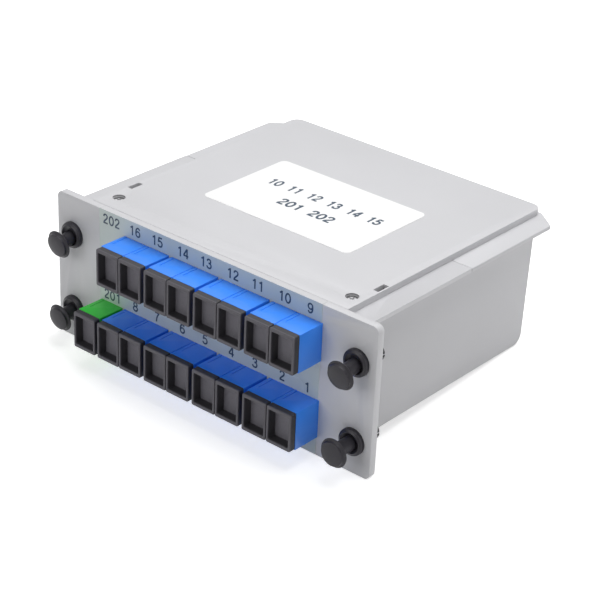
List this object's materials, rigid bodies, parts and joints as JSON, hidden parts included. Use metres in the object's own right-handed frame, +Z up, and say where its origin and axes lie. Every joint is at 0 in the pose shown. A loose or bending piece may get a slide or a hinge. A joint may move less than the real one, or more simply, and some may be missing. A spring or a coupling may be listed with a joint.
{
  "type": "plc fibre splitter",
  "caption": "Plug-in fibre splitter cassette: front panel with two rows of square fibre ports, pull-off dust caps, push latches and side guide rails.",
  "frame": {"origin": "bottom centre of the bounding box: middle of the width and depth, at the front panel's lower edge", "axes": "+X to the right seen from the front, +Y to the back of the case, +Z up"},
  "size_m": [0.13, 0.1128, 0.0504],
  "materials": {
    "case_plastic": "satin light grey moulding",
    "label_film": "clear grey film with plain port numbers",
    "label_paper": "matt white label with plain numbers",
    "screw_steel": "zinc plated",
    "latch_nylon": "black nylon",
    "adapter_blue": "blue moulding",
    "adapter_green": "green moulding",
    "cap_black": "soft black moulding",
    "clip_steel": "spring steel",
    "zirconia": "white ceramic",
    "holder_plastic": "natural white moulding",
    "boot_rubber": "soft blue boot",
    "fibre_jacket": "white tight buffer",
    "module_steel": "stainless steel",
    "foam": "closed cell foam",
    "saddle_plastic": "natural nylon"
  },
  "bodies": {
    "case": {"front_panel": "case_plastic", "case_tray": "case_plastic", "top_cover": "case_plastic", "cover_screws": "screw_steel", "port_label": "label_film", "top_label": "label_paper", "latch_grommet_upper_left": "latch_nylon", "latch_grommet_upper_right": "latch_nylon", "latch_grommet_lower_left": "latch_nylon", "latch_grommet_lower_right": "latch_nylon", "adapter_input": "adapter_green", "adapter_upper_1": "adapter_blue", "adapter_upper_2": "adapter_blue", "adapter_upper_3": "adapter_blue", "adapter_upper_4": "adapter_blue", "adapter_lower_1": "adapter_blue", "adapter_lower_2": "adapter_blue", "adapter_lower_3": "adapter_blue", "adapter_lower_4": "adapter_blue", "adapter_clips": "clip_steel", "ceramic_sleeves": "zirconia", "sleeve_holders": "holder_plastic", "rear_connectors": "adapter_blue", "ferrules": "zirconia", "rear_boots": "boot_rubber", "pigtails": "fibre_jacket", "fibre_coil": "fibre_jacket", "coil_saddles": "saddle_plastic", "splitter_module": "module_steel", "module_pad": "foam", "module_noses": "boot_rubber", "module_leads": "fibre_jacket"},
    "dust_cap_input": {"dust_cap_input": "cap_black"},
    "dust_cap_16": {"dust_cap_16": "cap_black"},
    "dust_cap_15": {"dust_cap_15": "cap_black"},
    "dust_cap_14": {"dust_cap_14": "cap_black"},
    "dust_cap_13": {"dust_cap_13": "cap_black"},
    "dust_cap_12": {"dust_cap_12": "cap_black"},
    "dust_cap_11": {"dust_cap_11": "cap_black"},
    "dust_cap_10": {"dust_cap_10": "cap_black"},
    "dust_cap_9": {"dust_cap_9": "cap_black"},
    "dust_cap_8": {"dust_cap_8": "cap_black"},
    "dust_cap_7": {"dust_cap_7": "cap_black"},
    "dust_cap_6": {"dust_cap_6": "cap_black"},
    "dust_cap_5": {"dust_cap_5": "cap_black"},
    "dust_cap_4": {"dust_cap_4": "cap_black"},
    "dust_cap_3": {"dust_cap_3": "cap_black"},
    "dust_cap_2": {"dust_cap_2": "cap_black"},
    "dust_cap_1": {"dust_cap_1": "cap_black"},
    "latch_plunger_upper_left": {"latch_plunger_upper_left": "latch_nylon"},
    "latch_plunger_upper_right": {"latch_plunger_upper_right": "latch_nylon"},
    "latch_plunger_lower_left": {"latch_plunger_lower_left": "latch_nylon"},
    "latch_plunger_lower_right": {"latch_plunger_lower_right": "latch_nylon"}
  },
  "joints": [
    {"name": "dust_cap_input_pull", "type": "slide", "parent": "case", "child": "dust_cap_input", "axis": [0, -1, 0], "range_m": [0, 0.015]},
    {"name": "dust_cap_16_pull", "type": "slide", "parent": "case", "child": "dust_cap_16", "axis": [0, -1, 0], "range_m": [0, 0.015]},
    {"name": "dust_cap_15_pull", "type": "slide", "parent": "case", "child": "dust_cap_15", "axis": [0, -1, 0], "range_m": [0, 0.015]},
    {"name": "dust_cap_14_pull", "type": "slide", "parent": "case", "child": "dust_cap_14", "axis": [0, -1, 0], "range_m": [0, 0.015]},
    {"name": "dust_cap_13_pull", "type": "slide", "parent": "case", "child": "dust_cap_13", "axis": [0, -1, 0], "range_m": [0, 0.015]},
    {"name": "dust_cap_12_pull", "type": "slide", "parent": "case", "child": "dust_cap_12", "axis": [0, -1, 0], "range_m": [0, 0.015]},
    {"name": "dust_cap_11_pull", "type": "slide", "parent": "case", "child": "dust_cap_11", "axis": [0, -1, 0], "range_m": [0, 0.015]},
    {"name": "dust_cap_10_pull", "type": "slide", "parent": "case", "child": "dust_cap_10", "axis": [0, -1, 0], "range_m": [0, 0.015]},
    {"name": "dust_cap_9_pull", "type": "slide", "parent": "case", "child": "dust_cap_9", "axis": [0, -1, 0], "range_m": [0, 0.015]},
    {"name": "dust_cap_8_pull", "type": "slide", "parent": "case", "child": "dust_cap_8", "axis": [0, -1, 0], "range_m": [0, 0.015]},
    {"name": "dust_cap_7_pull", "type": "slide", "parent": "case", "child": "dust_cap_7", "axis": [0, -1, 0], "range_m": [0, 0.015]},
    {"name": "dust_cap_6_pull", "type": "slide", "parent": "case", "child": "dust_cap_6", "axis": [0, -1, 0], "range_m": [0, 0.015]},
    {"name": "dust_cap_5_pull", "type": "slide", "parent": "case", "child": "dust_cap_5", "axis": [0, -1, 0], "range_m": [0, 0.015]},
    {"name": "dust_cap_4_pull", "type": "slide", "parent": "case", "child": "dust_cap_4", "axis": [0, -1, 0], "range_m": [0, 0.015]},
    {"name": "dust_cap_3_pull", "type": "slide", "parent": "case", "child": "dust_cap_3", "axis": [0, -1, 0], "range_m": [0, 0.015]},
    {"name": "dust_cap_2_pull", "type": "slide", "parent": "case", "child": "dust_cap_2", "axis": [0, -1, 0], "range_m": [0, 0.015]},
    {"name": "dust_cap_1_pull", "type": "slide", "parent": "case", "child": "dust_cap_1", "axis": [0, -1, 0], "range_m": [0, 0.015]},
    {"name": "latch_plunger_upper_left_push", "type": "slide", "parent": "case", "child": "latch_plunger_upper_left", "axis": [0, 1, 0], "range_m": [0, 0.004]},
    {"name": "latch_plunger_upper_right_push", "type": "slide", "parent": "case", "child": "latch_plunger_upper_right", "axis": [0, 1, 0], "range_m": [0, 0.0052]},
    {"name": "latch_plunger_lower_left_push", "type": "slide", "parent": "case", "child": "latch_plunger_lower_left", "axis": [0, 1, 0], "range_m": [0, 0.004]},
    {"name": "latch_plunger_lower_right_push", "type": "slide", "parent": "case", "child": "latch_plunger_lower_right", "axis": [0, 1, 0], "range_m": [0, 0.0062]}
  ]
}
